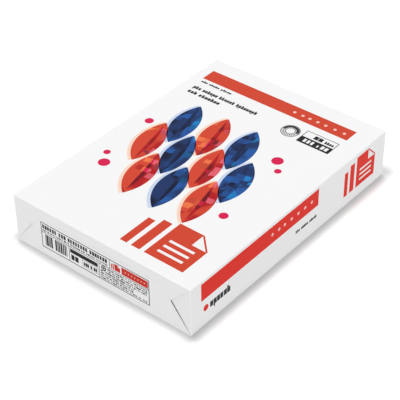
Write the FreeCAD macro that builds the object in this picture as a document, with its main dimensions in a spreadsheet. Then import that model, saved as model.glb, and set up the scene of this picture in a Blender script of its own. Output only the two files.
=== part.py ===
import FreeCAD, Part
import math
import os
import Sketcher

# A sealed ream of A4 office paper: a stack of cut sheets in a paper wrapper.
# The wrapper goes round the stack as a tube, with its long edges lapped underneath.
# Each end of the tube is closed like an envelope: the two sides tuck in first, the top
# flap folds down over them, and the bottom flap folds up last and is glued.
# It can't be seen into, so sheets and wrapper are one solid, all sizes in millimetres.
#
# Axes: +X across the sheets, +Y along them towards the head of the print, +Z up.
# Origin: the middle of the underside.

NODE = "wrapped_ream"

DRIVING_SIZES = [
    # the stack
    ("sheet_width", 210.0),
    ("sheet_length", 297.0),
    ("sheet_count", 500.0),
    ("sheet_caliper", 0.104),
    # the wrapper round it
    ("wrapper_thickness", 0.10),
    ("side_slack", 0.40),
    ("seam_inset", 24.0),
    ("bend_radius", 0.7),
    # the folded ends
    ("fold_radius", 0.7),
    ("corner_radius", 0.6),
    ("bottom_fold_angle", 38.0),
    ("top_fold_angle", 43.8),
    ("flap_margin", 11.0),
    ("tuck_hollow", 0.75),
    ("tuck_undercut", 3.0),
    ("pinch_height", 1.5),
]

WORKED_OUT_SIZES = [
    # one layer of wrapper lies over the stack, and two under it where the edges lap
    ("pack_height", "=sizes.sheet_count * sizes.sheet_caliper + 3 * sizes.wrapper_thickness"),
    ("pack_width", "=sizes.sheet_width + 2 * (sizes.wrapper_thickness + sizes.side_slack)"),
    # each flap is folded double along its slanting edges
    ("flap_thickness", "=2 * sizes.wrapper_thickness"),
    # distances from the middle of the pack to the layers at its ends
    ("tuck_end", "=sizes.sheet_length / 2 + sizes.wrapper_thickness"),
    ("core_end", "=tuck_end + sizes.tuck_hollow"),
    ("top_flap_end", "=core_end + flap_thickness"),
    ("bottom_flap_end", "=top_flap_end + flap_thickness"),
    # how far in a slanting edge runs for each millimetre of height
    ("bottom_slant", "=tan(sizes.bottom_fold_angle * 1deg)"),
    ("top_slant", "=tan(sizes.top_fold_angle * 1deg)"),
    ("flap_reach", "=pack_height - sizes.flap_margin"),
    # the slanting edges of the two flaps cross at the tip of the side tuck
    ("tuck_tip_height", "=pack_height * top_slant / (top_slant + bottom_slant)"),
    ("tuck_run", "=tuck_tip_height * bottom_slant + sizes.tuck_undercut"),
]

X_AXIS = FreeCAD.Vector(1, 0, 0)
Y_AXIS = FreeCAD.Vector(0, 1, 0)
Z_AXIS = FreeCAD.Vector(0, 0, 1)
SAME_PLACE = 1e-4

doc = FreeCAD.newDocument("ream")


def fill_sheet(name, rows):
    """Write each size in a spreadsheet, with its name beside it as its alias."""
    sheet = doc.addObject("Spreadsheet::Sheet", name)
    for line, (alias, content) in enumerate(rows, start=1):
        sheet.set(f"A{line}", alias)
        sheet.set(f"B{line}", str(content))
        sheet.setAlias(f"B{line}", alias)
    doc.recompute()
    return sheet


def amount(text):
    """The present value of an expression, as a plain number."""
    return float(pack.evalExpression(text))


def new_sketch(body, name, plane):
    """A sketch on one of the body's own origin planes."""
    sketch = body.newObject("Sketcher::SketchObject", name)
    face = next(item for item in body.Origin.OriginFeatures if item.Role == plane)
    sketch.AttachmentSupport = [(face, "")]
    sketch.MapMode = "FlatFace"
    return sketch


def draw_outline(sketch, corners):
    """A closed outline of straight lines, with every corner tied to two expressions."""
    points = [FreeCAD.Vector(amount(across), amount(up), 0) for across, up in corners]
    lines = []
    for start, finish in zip(points[-1:] + points[:-1], points):
        lines.append(sketch.addGeometry(Part.LineSegment(start, finish)))
    for before, line, corner in zip(lines[-1:] + lines[:-1], lines, corners):
        sketch.addConstraint(Sketcher.Constraint("Coincident", before, 2, line, 1))
        hold_point(sketch, line, 2, corner)


def hold_point(sketch, line, end, corner):
    """Tie one end of a line to its distances across and up from the sketch's origin."""
    for direction, text in zip(("DistanceX", "DistanceY"), corner):
        rule = sketch.addConstraint(Sketcher.Constraint(direction, -1, 1, line, end, amount(text)))
        sketch.setExpression(f"Constraints[{rule}]", text)


def pad_both_ways(body, name, sketch, length):
    """Thicken a sketch by half the length on each side of its plane."""
    pad = body.newObject("PartDesign::Pad", name)
    pad.Profile = sketch
    pad.Midplane = True
    pad.setExpression("Length", length)
    doc.recompute()
    return pad


def edges_at(feature, axis, places):
    """Names of a feature's straight edges that run along an axis through these places."""
    names = []
    for number, edge in enumerate(feature.Shape.Edges, start=1):
        start, finish = edge.Vertexes[0].Point, edge.Vertexes[-1].Point
        if (finish - start).cross(axis).Length > SAME_PLACE:
            continue
        foot = start - axis * start.dot(axis)
        if any((foot - place).Length < SAME_PLACE for place in places):
            names.append(f"Edge{number}")
    return names


def round_edges(body, name, feature, axis, places, radius):
    fillet = body.newObject("PartDesign::Fillet", name)
    fillet.Base = (feature, edges_at(feature, axis, places))
    fillet.setExpression("Radius", radius)
    doc.recompute()
    return fillet


def make_tube():
    """The wrapped tube: the section across the pack, with the lap's step underneath."""
    body = doc.addObject("PartDesign::Body", "tube")
    section = new_sketch(body, "tube_section", "XZ_Plane")
    draw_outline(section, [
        ("pack.pack_width / 2", "0"),
        ("pack.pack_width / 2", "pack.pack_height"),
        ("-pack.pack_width / 2", "pack.pack_height"),
        ("-pack.pack_width / 2", "sizes.wrapper_thickness"),
        ("sizes.seam_inset - pack.pack_width / 2", "sizes.wrapper_thickness"),
        ("sizes.seam_inset - pack.pack_width / 2", "0"),
    ])
    pad = pad_both_ways(body, "tube_length", section, "2 * pack.bottom_flap_end")
    side, top = amount("pack.pack_width / 2"), amount("pack.pack_height")
    lap = amount("sizes.wrapper_thickness")
    long_edges = [X_AXIS * side, X_AXIS * -side + Z_AXIS * lap]
    long_edges += [X_AXIS * side + Z_AXIS * top, X_AXIS * -side + Z_AXIS * top]
    round_edges(body, "long_bends", pad, Y_AXIS, long_edges, "sizes.bend_radius")
    return body


def make_side_view():
    """The pack seen from its long side, with the bottom flap's free edge at each end."""
    body = doc.addObject("PartDesign::Body", "side_view")
    profile = new_sketch(body, "end_steps", "YZ_Plane")
    draw_outline(profile, [
        ("pack.bottom_flap_end", "0"),
        ("pack.bottom_flap_end", "pack.flap_reach"),
        ("pack.top_flap_end", "pack.flap_reach"),
        ("pack.top_flap_end", "pack.pack_height"),
        ("-pack.top_flap_end", "pack.pack_height"),
        ("-pack.top_flap_end", "pack.flap_reach"),
        ("-pack.bottom_flap_end", "pack.flap_reach"),
        ("-pack.bottom_flap_end", "0"),
    ])
    pad = pad_both_ways(body, "side_view_width", profile, "pack.pack_width")
    low, high = amount("pack.bottom_flap_end"), amount("pack.top_flap_end")
    top = amount("pack.pack_height")
    end_edges = [Y_AXIS * low, Y_AXIS * -low]
    end_edges += [Y_AXIS * high + Z_AXIS * top, Y_AXIS * -high + Z_AXIS * top]
    round_edges(body, "end_bends", pad, X_AXIS, end_edges, "sizes.fold_radius")
    return body


def make_folds():
    """The core of the pack with both flaps laid on its ends, and the tucks behind them."""
    body = doc.addObject("PartDesign::Body", "folds")
    outline = new_sketch(body, "core_outline", "XZ_Plane")
    draw_outline(outline, [
        ("pack.pack_width / 2", "0"),
        ("pack.pack_width / 2", "pack.pack_height"),
        ("-pack.pack_width / 2", "pack.pack_height"),
        ("-pack.pack_width / 2", "0"),
    ])
    core = pad_both_ways(body, "core", outline, "2 * pack.core_end")
    side, end = amount("pack.pack_width / 2"), amount("pack.core_end")
    uprights = [X_AXIS * x + Y_AXIS * y for x in (side, -side) for y in (end, -end)]
    round_edges(body, "upright_bends", core, Z_AXIS, uprights, "sizes.corner_radius")

    # a flap keeps the pack's full width at its fold and narrows towards its free edge
    top_half = "(pack.pack_width / 2 - pack.flap_reach * pack.top_slant)"
    top_flap = new_sketch(body, "top_flap_outline", "XZ_Plane")
    draw_outline(top_flap, [
        ("pack.pack_width / 2", "pack.pack_height"),
        ("-pack.pack_width / 2", "pack.pack_height"),
        ("-" + top_half, "sizes.flap_margin"),
        (top_half, "sizes.flap_margin"),
    ])
    pad_both_ways(body, "top_flaps", top_flap, "2 * pack.top_flap_end")

    bottom_half = "(pack.pack_width / 2 - pack.flap_reach * pack.bottom_slant)"
    bottom_flap = new_sketch(body, "bottom_flap_outline", "XZ_Plane")
    draw_outline(bottom_flap, [
        ("pack.pack_width / 2", "0"),
        (bottom_half, "pack.flap_reach"),
        ("-" + bottom_half, "pack.flap_reach"),
        ("-pack.pack_width / 2", "0"),
    ])
    pad_both_ways(body, "bottom_flaps", bottom_flap, "2 * pack.bottom_flap_end")
    cut_tucks(body)
    return body


def cut_tucks(body):
    """Sink the four side tucks behind the flaps, which leaves the flaps' slanting edges open."""
    plan = new_sketch(body, "tuck_plan", "XY_Plane")
    plan.setExpression("AttachmentOffset.Base.z", "pack.pack_height / 2")
    for side in ("", "-"):
        for end in ("", "-"):
            draw_tuck(plan, side, end)
    pocket = body.newObject("PartDesign::Pocket", "side_tucks")
    pocket.Profile = plan
    pocket.Midplane = True
    pocket.setExpression("Length", "pack.pack_height - 2 * sizes.pinch_height")
    doc.recompute()


def draw_tuck(plan, side, end):
    """One tuck in plan: it sinks along an arc from the pack's side to its deepest line."""
    inner = f"{side}(pack.pack_width / 2 - pack.tuck_run)"
    corners = [
        (f"{side}(pack.pack_width / 2)", f"{end}(pack.core_end)"),
        (inner, f"{end}(pack.core_end)"),
        (inner, f"{end}(pack.tuck_end)"),
    ]
    rim, heel, deepest = (FreeCAD.Vector(amount(x), amount(y), 0) for x, y in corners)
    rim_line = plan.addGeometry(Part.LineSegment(rim, heel))
    wall_line = plan.addGeometry(Part.LineSegment(heel, deepest))
    hold_point(plan, rim_line, 1, corners[0])
    hold_point(plan, rim_line, 2, corners[1])
    hold_point(plan, wall_line, 2, corners[2])
    plan.addConstraint(Sketcher.Constraint("Coincident", rim_line, 2, wall_line, 1))

    # the arc is flat where it is deepest, so its centre is square to the wall there
    wall = heel - deepest
    radius = (rim - deepest).dot(rim - deepest) / (2 * wall.Length)
    centre = deepest + wall.normalize() * radius
    bearings = {math.atan2(*reversed((point - centre)[:2])): point for point in (rim, deepest)}
    first, last = sorted(bearings)
    circle = Part.Circle(centre, Z_AXIS, radius)
    arc = plan.addGeometry(Part.ArcOfCircle(circle, first, last))
    rim_end, deep_end = (1, 2) if bearings[first] is rim else (2, 1)
    plan.addConstraint(Sketcher.Constraint("Coincident", arc, deep_end, wall_line, 2))
    plan.addConstraint(Sketcher.Constraint("Coincident", arc, rim_end, rim_line, 1))
    plan.addConstraint(Sketcher.Constraint("Vertical", arc, 3, wall_line, 2))


def overlap_of(name, base, tool):
    common = doc.addObject("Part::Common", name)
    common.Base = base
    common.Tool = tool
    doc.recompute()
    return common


def check_document():
    """Stop before anything is written if a feature has failed or a shape is unsound."""
    for item in doc.Objects:
        if "Invalid" in item.State or "Error" in item.State:
            raise RuntimeError(f"{item.Name} failed: {item.State}")
    for item in (tube, side_view, folds, rounded_block, ream):
        if item.Shape.isNull() or not item.Shape.isValid():
            raise RuntimeError(f"{item.Name} has no sound shape")


sizes = fill_sheet("sizes", DRIVING_SIZES)
pack = fill_sheet("pack", WORKED_OUT_SIZES)
tube = make_tube()
side_view = make_side_view()
folds = make_folds()
rounded_block = overlap_of("rounded_block", tube, side_view)
ream = overlap_of(NODE, rounded_block, folds)
ream.Label = NODE
ream.Placement = FreeCAD.Placement()
doc.recompute()
check_document()

os.makedirs("parts", exist_ok=True)
ream.Shape.exportStep(f"parts/{NODE}.step")
box = ream.Shape.BoundBox
print(f"{NODE}: {len(ream.Shape.Solids)} solid, {len(ream.Shape.Faces)} faces,",
      f"{box.XLength:.2f} x {box.YLength:.2f} x {box.ZLength:.2f} mm,",
      f"{ream.Shape.Volume / 1000:.1f} cm3")
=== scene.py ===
import math
import random

import bmesh
import bpy
from mathutils import Matrix, Vector


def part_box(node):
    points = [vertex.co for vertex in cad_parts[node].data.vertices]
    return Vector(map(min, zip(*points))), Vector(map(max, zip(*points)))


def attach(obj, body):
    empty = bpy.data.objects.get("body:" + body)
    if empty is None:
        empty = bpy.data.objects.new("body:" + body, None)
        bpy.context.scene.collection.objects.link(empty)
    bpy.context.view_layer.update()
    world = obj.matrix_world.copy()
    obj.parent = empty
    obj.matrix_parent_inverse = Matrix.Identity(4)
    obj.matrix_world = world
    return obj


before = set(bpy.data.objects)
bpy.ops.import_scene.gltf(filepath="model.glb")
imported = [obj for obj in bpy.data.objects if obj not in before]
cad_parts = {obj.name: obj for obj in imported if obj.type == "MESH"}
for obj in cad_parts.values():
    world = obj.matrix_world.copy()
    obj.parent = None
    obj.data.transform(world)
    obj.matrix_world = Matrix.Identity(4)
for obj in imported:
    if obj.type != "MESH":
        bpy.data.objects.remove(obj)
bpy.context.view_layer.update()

# Sizes are written in millimetres and turned into metres here.
MM = 0.001
LOW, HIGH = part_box("wrapped_ream")
HALF_WIDTH, HALF_LENGTH, HEIGHT = [part / MM for part in HIGH]

X, Y, Z = Vector((1, 0, 0)), Vector((0, 1, 0)), Vector((0, 0, 1))


def printed_side(corner, across, up):
    """A side's own frame: x across it, y up it and z out of it, from its top left corner."""
    outwards = across.cross(up)
    return Matrix.Translation(corner) @ Matrix((across, up, outwards)).transposed().to_4x4()


TOP = printed_side(Vector((LOW.x, HIGH.y, HIGH.z)), X, Y)
NEAR_END = printed_side(Vector((LOW.x, LOW.y, HIGH.z)), X, Z)
LONG_SIDE = printed_side(Vector((HIGH.x, LOW.y, HIGH.z)), Y, Z)


# Colours as they look on the paper, from 0 to 255

PAPER_WHITE = (245, 245, 245)
# Painted shade: the dark grey painted on the paper inside the slits at the corners of the ends.
SLIT_SHADE_GREY = (84, 76, 70)
RED = (210, 72, 50)
SIDE_RED = (229, 46, 33)
LABEL_RED = (208, 54, 42)
DEEP_RED = (176, 26, 32)
ORANGE = (240, 122, 74)
CRIMSON = (218, 34, 84)
ROSE = (240, 104, 120)
MAROON = (112, 18, 30)
NAVY = (30, 52, 98)
DEEP_NAVY = (16, 24, 54)
MIDDLE_BLUE = (38, 88, 160)
BRIGHT_BLUE = (34, 138, 212)
PALE_BLUE = (206, 218, 240)
PALE_ORANGE = (252, 218, 198)
BAND_PINK = (252, 206, 196)
TEXT_GREY = (52, 52, 58)
LABEL_BLACK = (36, 35, 38)


def linear(colour):
    """A colour written 0 to 255 as the shader's linear red, green, blue and alpha."""
    parts = [part / 255 for part in colour]
    return (*(p / 12.92 if p <= 0.04045 else ((p + 0.055) / 1.055) ** 2.4 for p in parts), 1)


def dimmed(colour, share):
    """A linear colour at this share of its strength."""
    return (*(part * share for part in linear(colour)[:3]), 1)


# Shader maths

class Value:
    """A shader socket that adds its Math nodes when it is used in an expression."""

    def __init__(self, tree, socket):
        self.tree = tree
        self.socket = socket

    def maths(self, operation, *others, swap=False):
        parts = [*others, self] if swap else [self, *others]
        return self.tree.node("ShaderNodeMath", {"operation": operation}, dict(enumerate(parts)))

    def __add__(self, other):
        return self.maths("ADD", other)

    def __radd__(self, other):
        return self.maths("ADD", other, swap=True)

    def __sub__(self, other):
        return self.maths("SUBTRACT", other)

    def __rsub__(self, other):
        return self.maths("SUBTRACT", other, swap=True)

    def __mul__(self, other):
        return self.maths("MULTIPLY", other)

    def __rmul__(self, other):
        return self.maths("MULTIPLY", other, swap=True)

    def __abs__(self):
        return self.maths("ABSOLUTE")

    def __gt__(self, other):
        return self.maths("GREATER_THAN", other)

    def __lt__(self, other):
        return self.maths("LESS_THAN", other)

    def most(self, other):
        return self.maths("MAXIMUM", other)

    def root(self):
        return self.maths("SQRT")

    def step(self, low, high):
        """0 below low, 1 above high, and smooth between them."""
        settings = {"interpolation_type": "SMOOTHSTEP"}
        sockets = {"Value": self, "From Min": low, "From Max": high}
        return self.tree.node("ShaderNodeMapRange", settings, sockets)


# The sockets of a Mix node of colours: its share, its two colours and their result.
MIX_SHARE, MIX_FIRST, MIX_SECOND = 0, 6, 7
MIX_RESULT = 2
SEEN_RAYS = ("Is Camera Ray", "Is Glossy Ray", "Is Transmission Ray")


class Tree:
    """The nodes of one material or world, and the shader that they feed."""

    def __init__(self, owner, shader):
        owner.use_nodes = True
        self.nodes = owner.node_tree.nodes
        self.links = owner.node_tree.links
        self.shader = self.nodes[shader]

    def node(self, kind, settings=None, sockets=None, output=0):
        """Adds a node, sets it up, fills its sockets and gives one of its outputs."""
        made = self.nodes.new(kind)
        for name, setting in (settings or {}).items():
            setattr(made, name, setting)
        for name, content in (sockets or {}).items():
            self.fill(made.inputs[name], content)
        return Value(self, made.outputs[output])

    def fill(self, socket, content):
        if isinstance(content, Value):
            self.links.new(content.socket, socket)
        else:
            socket.default_value = content

    def give(self, name, content):
        """Fills one of the shader's own sockets."""
        self.fill(self.shader.inputs[name], content)

    def place(self):
        """Object coordinates in millimetres."""
        whole = self.node("ShaderNodeTexCoord", output="Object")
        return self.node("ShaderNodeVectorMath", {"operation": "SCALE"}, {0: whole, "Scale": 1 / MM})

    def parts(self, place):
        """A place's across, along and up."""
        return [self.node("ShaderNodeSeparateXYZ", sockets={0: place}, output=part) for part in range(3)]

    def noise(self, place, lump, detail):
        """Noise between 0 and 1 whose lumps are about this many millimetres across."""
        sockets = {"Vector": place, "Scale": 1 / lump, "Detail": detail}
        return self.node("ShaderNodeTexNoise", sockets=sockets)

    def mix(self, share, first, second):
        """A colour that goes from first to second as share goes from 0 to 1."""
        sockets = {MIX_SHARE: share, MIX_FIRST: first, MIX_SECOND: second}
        return self.node("ShaderNodeMix", {"data_type": "RGBA"}, sockets, MIX_RESULT)

    def seen(self):
        """1 for what the camera sees, straight, mirrored or through glass, and else 0."""
        rays = [self.node("ShaderNodeLightPath", output=name) for name in SEEN_RAYS]
        return rays[0].most(rays[1]).most(rays[2])


# Finishes

PAPER_ROUGHNESS = 0.52
INK_ROUGHNESS = 0.44
PRINT_SHEEN = 0.07
# The wrapper's fine tooth and its slight waves: how wide and how high they are.
TOOTH = 0.8
TOOTH_DEPTH = 0.004
WAVE = 34.0
WAVE_DEPTH = 0.10
# The mottle of bare paper and of ink: how wide its clouds are, and how dark they get.
PAPER_CLOUD = 60.0
PAPER_DIMMING = 0.985
INK_CLOUD = 2.6
INK_DIMMING = 0.93


def new_material(name, roughness):
    """A Principled material with its tree and its place, ready for a colour."""
    material = bpy.data.materials.new(name)
    tree = Tree(material, "Principled BSDF")
    tree.give("Roughness", roughness)
    tree.give("Specular IOR Level", PRINT_SHEEN)
    return material, tree, tree.place()


def mottled(tree, place, colour, cloud, dimming):
    """One colour with a faint mottle."""
    mottle = tree.noise(place, cloud, detail=4.0)
    return tree.mix(mottle, linear(colour), dimmed(colour, dimming))


def lay_on_paper(tree, place, colour):
    """Gives a finish its colour, and the wrapper's tooth and waves as a bump."""
    tree.give("Base Color", colour)
    tooth = tree.noise(place, TOOTH, detail=3.0)
    waves = tree.noise(place, WAVE, detail=1.0)
    height = tooth * (TOOTH_DEPTH * MM) + waves * (WAVE_DEPTH * MM)
    bump = tree.node("ShaderNodeBump", sockets={"Height": height, "Distance": 1.0}, output="Normal")
    tree.give("Normal", bump)


def ink(name, colour):
    material, tree, place = new_material(name, INK_ROUGHNESS)
    lay_on_paper(tree, place, mottled(tree, place, colour, INK_CLOUD, INK_DIMMING))
    return material


RED_INK = ink("red_ink", RED)
SIDE_RED_INK = ink("side_red_ink", SIDE_RED)
LABEL_RED_INK = ink("label_red_ink", LABEL_RED)
TEXT_INK = ink("text_ink", TEXT_GREY)
LABEL_INK = ink("label_ink", LABEL_BLACK)
BAND_MARK_INK = ink("band_mark_ink", BAND_PINK)
WHITE_INK = ink("white_ink", PAPER_WHITE)


# The hollow under the flaps at each corner of the ends: the tip of its tuck, the lean of the
# flaps' slanting edges below and above the tip in degrees, how far the hollow goes past the
# tip, what it leaves at the top and the foot, and how deep its mouth and its floor lie.
TUCK_TIP_INSET = 22.5
TUCK_TIP_UP = 28.8
LEAN_BELOW = 38.0
LEAN_ABOVE = 43.8
HOLLOW_PAST_TIP = 3.5
HOLLOW_MARGIN = 1.4
HOLLOW_MOUTH = 0.3
HOLLOW_FLOOR = 1.35


def slit_shade_mask(tree, place):
    """1 on the paper inside the open slits of the tucks, where dark grey shade is painted, and 0
    everywhere else.
    """
    across, along, up = [abs(part) for part in tree.parts(place)]
    tip = HALF_WIDTH - TUCK_TIP_INSET
    below = (TUCK_TIP_UP - up) * math.tan(math.radians(LEAN_BELOW))
    above = (up - TUCK_TIP_UP) * math.tan(math.radians(LEAN_ABOVE))
    slanting_edge = below.most(above) + tip
    under_flaps = (across < slanting_edge) * (across > tip - HOLLOW_PAST_TIP)
    deep = (along < HALF_LENGTH - HOLLOW_MOUTH) * (along > HALF_LENGTH - HOLLOW_FLOOR)
    return under_flaps * deep * (up > HOLLOW_MARGIN) * (up < HEIGHT - HOLLOW_MARGIN)


def wrapper_finish():
    """White paper, with dark grey shade painted inside the slits at the corners."""
    material, tree, place = new_material("wrapper_paper", PAPER_ROUGHNESS)
    outside = mottled(tree, place, PAPER_WHITE, PAPER_CLOUD, PAPER_DIMMING)
    # Painted shade: dark grey inside the slits, standing in for the shade of the hollow under the flaps'
    # edges.
    inside = mottled(tree, place, SLIT_SHADE_GREY, INK_CLOUD, INK_DIMMING)
    lay_on_paper(tree, place, tree.mix(slit_shade_mask(tree, place), outside, inside))
    return material


def dress_pack():
    """Gives the pack its paper."""
    wrapper_paper = wrapper_finish()
    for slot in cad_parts["wrapped_ream"].material_slots:
        slot.material = wrapper_paper


# All leaves of the art lean this way, in degrees.
LEAF_LEAN = -12.0
# How a leaf's ink deepens, and the lighter facets in it: their size and their spread.
PATCH = 24.0
DEEPENING = (0.40, 0.60)
FACET = 7.5
FACET_UNEVENNESS = 0.45
FACET_SHARE = 0.42
FACET_PATCHES_FROM = 0.47


def faceted_ink(name, ground, shade, light, bright):
    """A leaf's ink: it deepens softly, and has patches of small straight-sided facets."""
    material, tree, place = new_material(name, INK_ROUGHNESS)
    turn = {"Vector": place, "Angle": math.radians(LEAF_LEAN)}
    along = tree.node("ShaderNodeVectorRotate", {"rotation_type": "Z_AXIS"}, turn)
    depth = tree.noise(place, PATCH, detail=1.0).step(*DEEPENING)
    body = tree.mix(depth, linear(ground), linear(shade))
    grid = {"Vector": along, "Scale": 1 / FACET, "Randomness": FACET_UNEVENNESS}
    cells = tree.node("ShaderNodeTexVoronoi", {"distance": "CHEBYCHEV"}, grid, "Color")
    chance = tree.node("ShaderNodeSeparateColor", sockets={0: cells}, output="Red")
    tone = tree.node("ShaderNodeSeparateColor", sockets={0: cells}, output="Green")
    patches = tree.noise(along, PATCH, detail=0.0) > FACET_PATCHES_FROM
    facets = (chance < FACET_SHARE) * patches
    colour = tree.mix(facets, body, tree.mix(tone, linear(light), linear(bright)))
    lay_on_paper(tree, place, colour)
    return material


# Print: flat shapes in millimetres, drawn as (across, down) on one printed side

# How far ink stands on the paper and reaches into it, and how much each further layer adds.
INK_HEIGHT = 0.03
INK_ROOT = 0.02
LAYER_STEP = 0.012
ARC_STEPS = 144
SMALL_STEPS = 32
# A point this near to a cut is moved onto it, so that no sliver is left.
CUT_SNAP = 0.001
# The gap between two words, and how much of its pitch a letter's block takes, at least and
# at most, as shares of the pitch.
WORD_GAP = 0.7
BOLD = (0.80, 0.92)
PLAIN = (0.60, 0.84)
FINE = (0.35, 0.95)
# A small letter's height as a share of its line's, a stem's width as a share of its letter's,
# and the chances below and above which a small letter has a stem up or down.
SMALL_LETTER = 0.72
STEM = 0.46
STEM_UP_BELOW = 0.28
STEM_DOWN_ABOVE = 0.93


def verts_in(made):
    return [item for item in made if isinstance(item, bmesh.types.BMVert)]


def each_once(parts):
    """Parts of a mesh in the order they come in, each of them once."""
    return list(dict.fromkeys(parts))


def faces_round(verts):
    return each_once(face for vert in verts for face in vert.link_faces)


def edges_round(verts):
    return each_once(edge for vert in verts for edge in vert.link_edges)


class Print:
    """One ink on one printed side: it gathers flat shapes and raises them into thin plates."""

    def __init__(self, name, side, layer=0):
        self.name = name
        self.side = side
        self.layer = layer
        self.mesh = bmesh.new()

    def keep(self, faces, turn=0.0, at=(0.0, 0.0), stretch=(1.0, 1.0)):
        """Raises new flat faces into a plate, turns it clockwise and puts it in its place."""
        raised = bmesh.ops.extrude_face_region(self.mesh, geom=faces)["geom"]
        lifted = verts_in(raised)
        verts = each_once(vert for face in faces for vert in face.verts)
        height = INK_ROOT + INK_HEIGHT + LAYER_STEP * self.layer
        bmesh.ops.translate(self.mesh, verts=lifted, vec=Z * height)
        shape = Matrix.Diagonal((*stretch, 1, 1))
        spin = Matrix.Rotation(math.radians(-turn), 4, "Z")
        move = Matrix.Translation((at[0], -at[1], -INK_ROOT))
        bmesh.ops.transform(self.mesh, matrix=move @ spin @ shape, verts=[*verts, *lifted])

    def cut_away(self, verts, point, normal):
        """Keeps the part of a flat shape on the side that the normal points to."""
        whole = [*verts, *edges_round(verts), *faces_round(verts)]
        cut = bmesh.ops.bisect_plane(
            self.mesh, geom=whole, dist=CUT_SNAP, plane_co=point, plane_no=normal, clear_inner=True)
        return verts_in(cut["geom"])

    def box(self, left, top, right, bottom, turn=0.0):
        """A rectangle between two corners, turned about its own middle."""
        made = bmesh.ops.create_grid(self.mesh, x_segments=1, y_segments=1, size=0.5)
        middle = ((left + right) / 2, (top + bottom) / 2)
        self.keep(faces_round(made["verts"]), turn, middle, (right - left, bottom - top))

    def outline(self, left, top, right, bottom, line):
        """A rectangle drawn with a line of this width, inside its own edges."""
        self.box(left, top, right, top + line)
        self.box(left, bottom - line, right, bottom)
        self.box(left, top + line, left + line, bottom - line)
        self.box(right - line, top + line, right, bottom - line)

    def polygon(self, corners):
        verts = [self.mesh.verts.new((across, -down, 0)) for across, down in corners]
        self.keep([self.mesh.faces.new(verts)])

    def disc(self, across, down, radius):
        made = bmesh.ops.create_circle(
            self.mesh, cap_ends=True, segments=SMALL_STEPS, radius=radius)
        self.keep(faces_round(made["verts"]), at=(across, down))

    def ring(self, across, down, outer, inner, steps=SMALL_STEPS, upper_half=False):
        made = bmesh.ops.create_circle(self.mesh, cap_ends=False, segments=steps, radius=outer)
        edges = edges_round(made["verts"])
        inward = verts_in(bmesh.ops.extrude_edge_only(self.mesh, edges=edges)["geom"])
        share = inner / outer
        bmesh.ops.scale(self.mesh, verts=inward, vec=(share, share, 1))
        verts = [*made["verts"], *inward]
        if upper_half:
            verts = self.cut_away(verts, Vector(), Y)
        self.keep(faces_round(verts), at=(across, down))

    def half_leaf(self, across, down, length, belly, turn, side):
        """A leaf's half on one side of its rib, -1 for the left and 1 for the right."""
        radius = (length ** 2 / 4 + belly ** 2) / (2 * belly)
        made = bmesh.ops.create_circle(self.mesh, cap_ends=True, segments=ARC_STEPS, radius=radius)
        kept = self.cut_away(made["verts"], Y * (radius - belly), Y)
        bmesh.ops.translate(self.mesh, verts=kept, vec=Y * (belly - radius))
        self.keep(faces_round(kept), turn + 90 * side, (across, down))

    def words(self, left, top, right, bottom, letters, seed, capitals=False, weight=BOLD):
        """A line of stand-in text: a block for each letter, and stems on some small ones."""
        chance = random.Random(seed)
        pitch = (right - left) / (sum(letters) + WORD_GAP * (len(letters) - 1))
        middle = top if capitals else bottom - (bottom - top) * SMALL_LETTER
        across = left
        for letter_count in letters:
            for _ in range(letter_count):
                wide = pitch * chance.uniform(*weight)
                stem = wide * STEM
                self.box(across, middle, across + wide, bottom)
                kind = chance.random()
                if kind < STEM_UP_BELOW and not capitals:
                    self.box(across, top, across + stem, middle)
                if kind > STEM_DOWN_ABOVE and not capitals:
                    self.box(across, bottom, across + stem, bottom + middle - top)
                across += pitch
            across += pitch * WORD_GAP

    def finish(self, material):
        """Makes the plates one piece on its printed side, in this ink."""
        bmesh.ops.transform(self.mesh, matrix=Matrix.Scale(MM, 4), verts=self.mesh.verts)
        bmesh.ops.transform(self.mesh, matrix=self.side, verts=self.mesh.verts)
        bmesh.ops.recalc_face_normals(self.mesh, faces=self.mesh.faces)
        data = bpy.data.meshes.new(self.name)
        self.mesh.to_mesh(data)
        self.mesh.free()
        data.materials.append(material)
        piece = bpy.data.objects.new(self.name, data)
        bpy.context.scene.collection.objects.link(piece)
        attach(piece, "root")


# The art on the top: leaves that all lean one way, in staggered rows, with berries between

LEAF_LENGTH = 69.0
LEAF_BELLY = 13.4
# The first leaf's middle, the pitch along a row, and each row's drop and shift from the last.
FIRST_LEAF = (50.0, 113.5)
LEAF_PITCH = 35.6
ROW_DROP = 43.5
ROW_SHIFT = -8.2
# The places along each row that have a leaf.
LEAF_ROWS = ((0, 1, 2), (0, 1, 2, 3), (1, 2, 3))
# A halo lies a little to the left of its leaf and below it, and is a little larger.
HALO_SHIFT = 2.4
HALO_GROWTH = 1.04
# The darker fold beside each leaf's rib.
FOLD_LENGTH = 58.0
FOLD_BELLY = 4.4
# Halos that overlap lie in different layers, under the leaves.
HALO_LAYERS = 3
LEAF_LAYER = 3
FOLD_LAYER = 4
BERRY_LAYER = 4
# Each berry's middle and radius.
BERRIES = (
    (158, 106, 6.0),
    (168, 119, 3.6),
    (31, 210, 6.0),
    (22, 196, 3.6),
    (19, 131, 4.6),
    (170, 203, 4.6),
)


def leaf_places():
    """Each leaf's turn in the change of colours and layers, and its middle."""
    for row, numbers in enumerate(LEAF_ROWS):
        for number in numbers:
            across = FIRST_LEAF[0] + number * LEAF_PITCH + row * ROW_SHIFT
            yield row + number, across, FIRST_LEAF[1] + row * ROW_DROP


def draw_halo(halo, across, down, side):
    middle = (across - HALO_SHIFT, down + HALO_SHIFT / 2)
    size = (LEAF_LENGTH * HALO_GROWTH, LEAF_BELLY * HALO_GROWTH)
    halo.half_leaf(*middle, *size, LEAF_LEAN, side)


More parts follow.
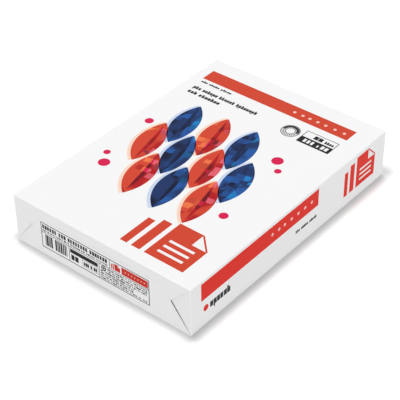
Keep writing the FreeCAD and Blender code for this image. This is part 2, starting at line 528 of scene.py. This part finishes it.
def print_leaves():
    """Leaves of two inks each, blue or red by turns, over pale halos."""
    halos = [Print("leaf_halos_blue", TOP), Print("leaf_halos_orange", TOP)]
    left = [Print("leaves_navy", TOP, LEAF_LAYER), Print("leaves_red", TOP, LEAF_LAYER)]
    right = [Print("leaves_blue", TOP, LEAF_LAYER), Print("leaves_crimson", TOP, LEAF_LAYER)]
    folds = [Print("leaf_folds_navy", TOP, FOLD_LAYER), Print("leaf_folds_red", TOP, FOLD_LAYER)]
    for count, across, down in leaf_places():
        kind = count % 2
        halos[kind].layer = count % HALO_LAYERS
        for side, half in ((-1, left[kind]), (1, right[kind])):
            half.half_leaf(across, down, LEAF_LENGTH, LEAF_BELLY, LEAF_LEAN, side)
            draw_halo(halos[kind], across, down, side)
        folds[kind].half_leaf(across, down, FOLD_LENGTH, FOLD_BELLY, LEAF_LEAN, 1)
    halos[0].finish(ink("halo_blue_ink", PALE_BLUE))
    halos[1].finish(ink("halo_orange_ink", PALE_ORANGE))
    left[0].finish(faceted_ink("leaf_navy_ink", NAVY, DEEP_NAVY, MIDDLE_BLUE, NAVY))
    left[1].finish(faceted_ink("leaf_red_ink", RED, RED, ORANGE, DEEP_RED))
    right[0].finish(faceted_ink("leaf_blue_ink", MIDDLE_BLUE, NAVY, BRIGHT_BLUE, DEEP_NAVY))
    right[1].finish(faceted_ink("leaf_crimson_ink", RED, DEEP_RED, ROSE, MAROON))
    folds[0].finish(faceted_ink("fold_navy_ink", DEEP_NAVY, NAVY, MIDDLE_BLUE, DEEP_NAVY))
    folds[1].finish(faceted_ink("fold_red_ink", DEEP_RED, MAROON, CRIMSON, DEEP_RED))


def print_berries():
    berries = Print("berries", TOP, BERRY_LAYER)
    for across, down, radius in BERRIES:
        berries.disc(across, down, radius)
    berries.finish(ink("berry_ink", CRIMSON))


# Bands on the top and on the long side, with their rows of dots

# Each rectangle is its left, top, right and bottom.
TOP_BAND = (11.3, 20, 190.1, 37.7)
TOP_BAND_MARKS = (122.5, 132.5, 141, 150.5, 160, 171, 182)
TOP_BAND_MARKS_DOWN = 29.5
SIDE_BAND = (14.5, 3.5, 186.9, 22.8)
SIDE_BAND_MARKS = (115.5, 125.5, 134, 144.5, 155, 165.5, 176)
SIDE_BAND_MARKS_DOWN = 13
BAND_MARK = 1.7


def print_marks(name, side, places, down, radius):
    """A row of pale dots on a band."""
    marks = Print(name, side, layer=1)
    for across in places:
        marks.disc(across, down, radius)
    marks.finish(BAND_MARK_INK)


def print_bands():
    top = Print("top_band", TOP)
    top.box(*TOP_BAND)
    top.finish(RED_INK)
    print_marks("top_band_marks", TOP, TOP_BAND_MARKS, TOP_BAND_MARKS_DOWN, BAND_MARK)
    side = Print("side_band", LONG_SIDE)
    side.box(*SIDE_BAND)
    side.finish(SIDE_RED_INK)
    print_marks("side_band_marks", LONG_SIDE, SIDE_BAND_MARKS, SIDE_BAND_MARKS_DOWN, BAND_MARK)


# Words

# Each line of words is its rectangle, the letters in each word, and its seed.
TOP_LINES = (
    (14, 41, 53, 44.4, (3, 5, 5), 1),
    (14, 52.5, 95, 58, (3, 6, 6, 8), 2),
    (14, 61.5, 55, 67, (3, 7), 3),
)
SIDE_LINES = (
    (152, 32.0, 185, 35.6, (3, 5, 5), 4),
    (26.5, 28.6, 55, 37.2, (6,), 5),
)
SIDE_DOT = (20.8, 33.5, 3.4)


def print_text():
    for name, side, lines in (("top_text", TOP, TOP_LINES), ("side_text", LONG_SIDE, SIDE_LINES)):
        text = Print(name, side)
        for line in lines:
            text.words(*line)
        text.finish(TEXT_INK)
    dot = Print("side_dot", LONG_SIDE)
    dot.disc(*SIDE_DOT)
    dot.finish(SIDE_RED_INK)


# The round badge

# Its middle, its rings' outer and inner radii, and the ticks in its lower half: the first
# one's turn and the turn to the next in degrees, and how far from the middle they stand.
BADGE = (138.2, 58.2)
BADGE_RIM = (9.9, 9.0)
BADGE_ARC = (8.8, 5.8)
BADGE_CORE = (5.2, 4.4)
TICKS = 13
FIRST_TICK = 96
TICK_TURN = 14
TICK_RADIUS = 7.1
TICK_HALF_WIDTH = 0.45
TICK_HALF_LENGTH = 1.2


def print_badge():
    badge = Print("round_badge", TOP)
    badge.ring(*BADGE, *BADGE_RIM, ARC_STEPS)
    badge.ring(*BADGE, *BADGE_ARC, ARC_STEPS, upper_half=True)
    badge.ring(*BADGE, *BADGE_CORE, ARC_STEPS)
    for tick in range(TICKS):
        turn = FIRST_TICK + tick * TICK_TURN
        angle = math.radians(turn)
        across = BADGE[0] + TICK_RADIUS * math.sin(angle)
        down = BADGE[1] - TICK_RADIUS * math.cos(angle)
        badge.box(
            across - TICK_HALF_WIDTH, down - TICK_HALF_LENGTH,
            across + TICK_HALF_WIDTH, down + TICK_HALF_LENGTH, turn)
    badge.finish(TEXT_INK)


# The specification box: an outlined upper half and a solid lower half, each with its words

SPEC_UPPER = (151.3, 47.1, 188.6, 58.2)
SPEC_LOWER = (151.3, 58.2, 188.6, 67.7)
SPEC_LINE = 0.75
UPPER_FIGURE = (163, 50, 173.8, 55.6, (2,), 6)
UPPER_UNIT = (175.8, 51, 186.6, 55.4, (4,), 7)
LOWER_FIGURE = (157, 59.8, 170, 65.2, (3,), 8)
LOWER_CROSS = (173, 61.6, 175, 65.2, (1,), 9)
LOWER_SIZE = (177.4, 59.8, 186.4, 65.2, (2,), 10)


def print_spec_box():
    black = Print("spec_box", TOP)
    black.outline(*SPEC_UPPER, SPEC_LINE)
    black.box(*SPEC_LOWER)
    black.words(*UPPER_FIGURE, capitals=True)
    black.words(*UPPER_UNIT)
    black.finish(LABEL_INK)
    pale = Print("spec_box_words", TOP, layer=1)
    pale.words(*LOWER_FIGURE, capitals=True, weight=PLAIN)
    pale.words(*LOWER_CROSS, capitals=True)
    pale.words(*LOWER_SIZE, capitals=True, weight=PLAIN)
    pale.finish(WHITE_INK)


# Pictograms

# At scale 1 a pictogram is 72 by 50: two sheets' edges beside a page with its corner turned
# down, and the lines on the page.
SHEET_EDGES = (((0, 11), (8, 50)), ((13, 5), (23, 50)))
PAGE = ((28, 0), (28, 50), (72, 50), (72, 16), (56, 0))
TURNED_CORNER = ((55, 1.5), (55, 17), (70.5, 17))
PAGE_LINES = (((36, 23), (64, 26)), ((36, 31), (64, 34)), ((36, 39), (64, 42)))
# Each pictogram's ink, its left, top and scale, and the lines that its page has.
PICTOGRAMS = (
    ("top_pictogram", TOP, RED_INK, (119, 235.5, 1.0), PAGE_LINES),
    ("side_pictogram", LONG_SIDE, SIDE_RED_INK, (230, 4.5, 0.72), PAGE_LINES),
    ("label_pictogram", NEAR_END, LABEL_RED_INK, (120.1, 16.5, 0.15), ()),
)


def draw_pictogram(solid, gaps, place, lines):
    """The sheets and the page in one ink, with the turned corner and the lines as gaps."""
    left, top, scale = place

    def at(point):
        return left + point[0] * scale, top + point[1] * scale

    for first, last in SHEET_EDGES:
        solid.box(*at(first), *at(last))
    solid.polygon([at(corner) for corner in PAGE])
    gaps.polygon([at(corner) for corner in TURNED_CORNER])
    for first, last in lines:
        gaps.box(*at(first), *at(last))


def print_pictograms():
    for name, side, colour, place, lines in PICTOGRAMS:
        solid = Print(name, side)
        gaps = Print(name + "_gaps", side, layer=1)
        draw_pictogram(solid, gaps, place, lines)
        solid.finish(colour)
        gaps.finish(WHITE_INK)


# The label on the near end: its border and rules, its heading, and three fields under it

LABEL = (33.5, 14.3, 164.6, 43.5)
LABEL_LINE = 0.8
RULE = 0.6
HEADING_FOOT = 25.3
HEADING_RULE = 118
FIELD_RULES = (68, 105)
HEADING = (35.5, 16.6, 116, 21.0, (6, 3, 8, 7), 11)
SUBHEADING = (35.5, 22.2, 116, 24.1, (5, 9, 4, 7, 3, 6, 8), 12)
# The red bar at the right of the heading, and its dots.
LABEL_BAR = (132.6, 16.2, 163.2, 24.4)
LABEL_MARKS = [137 + 3.7 * step for step in range(7)]
LABEL_MARKS_DOWN = 20.3
LABEL_MARK = 0.7
# The left field: two blocks of stripes.
STRIPE_SPANS = ((38.2, 47.2), (50.6, 65.4))
STRIPE_TOP = 27.2
STRIPE_FOOT = 40
STRIPE_WIDTHS = (1.0, 1.5, 2.1)
STRIPE_GAPS = (0.5, 0.8)
STRIPE_SEED = 15
# The middle field: a solid bar, a figure, and a thin box of words.
FIELD_BAR = (69.5, 27.4, 103.5, 32)
FIELD_FIGURE = (70.5, 34, 80, 40, (2,), 13)
FIELD_BOX = (84.3, 33.0, 103.8, 40.6)
FIELD_BOX_LINE = 0.3
FIELD_BOX_WORDS = (86, 35, 102.5, 39, (3, 1, 2), 14)
# The right field: a round mark, and small print whose first two lines stand beside it. Each
# line of small print is its left and right, and its words are these lengths in a mixed order.
ROUND_MARK = (110.8, 29.1)
ROUND_MARK_RING = (3.05, 1.9)
ROUND_MARK_DISC = 1.25
SMALL_PRINT = ((115.5, 162), (115.5, 162), (107, 162), (107, 146), (107, 146), (107, 162))
SMALL_PRINT_TOP = 27.0
SMALL_PRINT_PITCH = 2.6
SMALL_PRINT_HEIGHT = 1.6
SMALL_PRINT_WORDS = (2, 3, 4, 5, 6, 7)
SMALL_PRINT_SEED = 20


def draw_frame(label):
    """The label's border, the rules round its heading, and the rules between its fields."""
    left, top, right, bottom = LABEL
    label.outline(left, top, right, bottom, LABEL_LINE)
    label.box(left + LABEL_LINE, HEADING_FOOT, right - LABEL_LINE, HEADING_FOOT + RULE)
    label.box(HEADING_RULE, top + LABEL_LINE, HEADING_RULE + RULE, HEADING_FOOT)
    for across in FIELD_RULES:
        label.box(across, HEADING_FOOT + RULE, across + RULE, bottom - LABEL_LINE)


def draw_stripes(label):
    """Uneven upright stripes that stand for no number."""
    chance = random.Random(STRIPE_SEED)
    for left, right in STRIPE_SPANS:
        across = left
        while across < right - RULE:
            wide = chance.choice(STRIPE_WIDTHS)
            label.box(across, STRIPE_TOP, min(across + wide, right), STRIPE_FOOT)
            across += wide + chance.choice(STRIPE_GAPS)


def draw_small_print(label):
    for row, (left, right) in enumerate(SMALL_PRINT):
        top = SMALL_PRINT_TOP + row * SMALL_PRINT_PITCH
        letters = random.Random(row).sample(SMALL_PRINT_WORDS, len(SMALL_PRINT_WORDS))
        label.words(
            left, top, right, top + SMALL_PRINT_HEIGHT, letters, SMALL_PRINT_SEED + row,
            capitals=True, weight=FINE)


def print_label():
    label = Print("end_label", NEAR_END)
    draw_frame(label)
    label.words(*HEADING, capitals=True, weight=PLAIN)
    label.words(*SUBHEADING, capitals=True, weight=FINE)
    label.box(*FIELD_BAR)
    label.words(*FIELD_FIGURE, capitals=True)
    label.outline(*FIELD_BOX, FIELD_BOX_LINE)
    label.words(*FIELD_BOX_WORDS, capitals=True)
    label.ring(*ROUND_MARK, *ROUND_MARK_RING)
    label.disc(*ROUND_MARK, ROUND_MARK_DISC)
    draw_stripes(label)
    draw_small_print(label)
    label.finish(LABEL_INK)
    bar = Print("end_label_bar", NEAR_END)
    bar.box(*LABEL_BAR)
    bar.finish(LABEL_RED_INK)
    print_marks("end_label_marks", NEAR_END, LABEL_MARKS, LABEL_MARKS_DOWN, LABEL_MARK)


# Floor and light

FLOOR_SIZE = 6.0
WHITE = (1, 1, 1, 1)
# The floor's own colour and glow towards the object, and its glow as it is seen.
FLOOR_GREY = (0.2, 0.2, 0.2, 1)
FLOOR_BOUNCE = (0.62, 0.62, 0.62, 1)
FLOOR_GLOW = (0.04, 0.04, 0.04, 1)
# The soft shade round the pack's foot: its colour, reach and shift in millimetres.
SHADE_GREY = (0.62, 0.62, 0.62, 1)
SHADE_REACH = 14.0
SHADE_SHIFT = (0.0, 5.0)
SKY_STRENGTH = 0.50
# Each lamp's name, strength, width in degrees, and the side that it shines from.
LAMPS = (
    ("sun", 1.42, 14, Vector((-0.14, 0.13, 1.0))),
    ("fill", 1.005, 50, Vector((0.93, -0.99, 0.36))),
)


def distance_past(place, middle, half):
    """How far a place lies beyond half a span from the span's middle, and 0 within it."""
    return (abs(place - middle) - half).most(0.0)


def contact_shade(tree):
    """The floor's colour as it is seen: white, and greyer close to the pack."""
    across, along, _ = tree.parts(tree.place())
    sideways = distance_past(across, SHADE_SHIFT[0], HALF_WIDTH)
    endways = distance_past(along, SHADE_SHIFT[1], HALF_LENGTH)
    distance = (sideways * sideways + endways * endways).root()
    return tree.mix(distance.step(0.0, SHADE_REACH), SHADE_GREY, WHITE)


def floor_material():
    """A pale floor that looks white, takes the pack's shadow and lights its sides evenly."""
    material = bpy.data.materials.new("floor_white")
    tree = Tree(material, "Principled BSDF")
    tree.give("Roughness", 1.0)
    tree.give("Specular IOR Level", 0.0)
    tree.give("Emission Strength", 1.0)
    seen = tree.seen()
    tree.give("Base Color", tree.mix(seen, FLOOR_GREY, contact_shade(tree)))
    tree.give("Emission Color", tree.mix(seen, FLOOR_BOUNCE, FLOOR_GLOW))
    return material


def make_floor():
    mesh = bmesh.new()
    bmesh.ops.create_grid(mesh, x_segments=1, y_segments=1, size=FLOOR_SIZE / 2)
    data = bpy.data.meshes.new("floor")
    mesh.to_mesh(data)
    mesh.free()
    data.materials.append(floor_material())
    floor = bpy.data.objects.new("floor", data)
    bpy.context.scene.collection.objects.link(floor)


def hang_lamp(name, strength, width, place):
    """A sun lamp that shines from a place towards the origin."""
    lamp = bpy.data.lights.new(name, "SUN")
    lamp.energy = strength
    lamp.angle = math.radians(width)
    holder = bpy.data.objects.new(name, lamp)
    holder.location = place
    holder.rotation_euler = (-place).to_track_quat("-Z", "Y").to_euler()
    bpy.context.scene.collection.objects.link(holder)


def light_scene():
    """A sky that looks white but lights the pack less, and the lamps."""
    world = bpy.data.worlds.new("studio")
    bpy.context.scene.world = world
    tree = Tree(world, "Background")
    tree.give("Color", WHITE)
    tree.give("Strength", SKY_STRENGTH + tree.seen() * (1 - SKY_STRENGTH))
    for lamp in LAMPS:
        hang_lamp(*lamp)


# The camera, found from the pack's corners in the photograph

CAMERA_PLACE = Vector((641.74, -781.52, 792.87)) * MM
CAMERA_AZIMUTH = math.radians(39.694)
CAMERA_ELEVATION = math.radians(37.864)
CAMERA_ROLL = math.radians(-0.616)
FOCAL_PIXELS = 1324.8
FRAME_PIXELS = 400
SENSOR_WIDTH = 36.0


def make_camera():
    level = Vector((math.cos(CAMERA_AZIMUTH), math.sin(CAMERA_AZIMUTH), 0))
    inward = Vector((-level.y, level.x, 0))
    back = Z * math.sin(CAMERA_ELEVATION) - inward * math.cos(CAMERA_ELEVATION)
    upright = back.cross(level)
    right = level * math.cos(CAMERA_ROLL) + upright * math.sin(CAMERA_ROLL)
    up = upright * math.cos(CAMERA_ROLL) - level * math.sin(CAMERA_ROLL)
    turned = Matrix((right, up, back)).transposed().to_4x4()
    data = bpy.data.cameras.new("camera")
    data.sensor_width = SENSOR_WIDTH
    data.lens = FOCAL_PIXELS / FRAME_PIXELS * SENSOR_WIDTH
    camera = bpy.data.objects.new("camera", data)
    camera.matrix_world = Matrix.Translation(CAMERA_PLACE) @ turned
    bpy.context.scene.collection.objects.link(camera)
    bpy.context.scene.camera = camera


# The pack, its print and the scene round it

dress_pack()
print_leaves()
print_berries()
print_bands()
print_text()
print_badge()
print_spec_box()
print_pictograms()
print_label()
make_floor()
light_scene()
make_camera()
bpy.context.scene.view_settings.view_transform = "Standard"
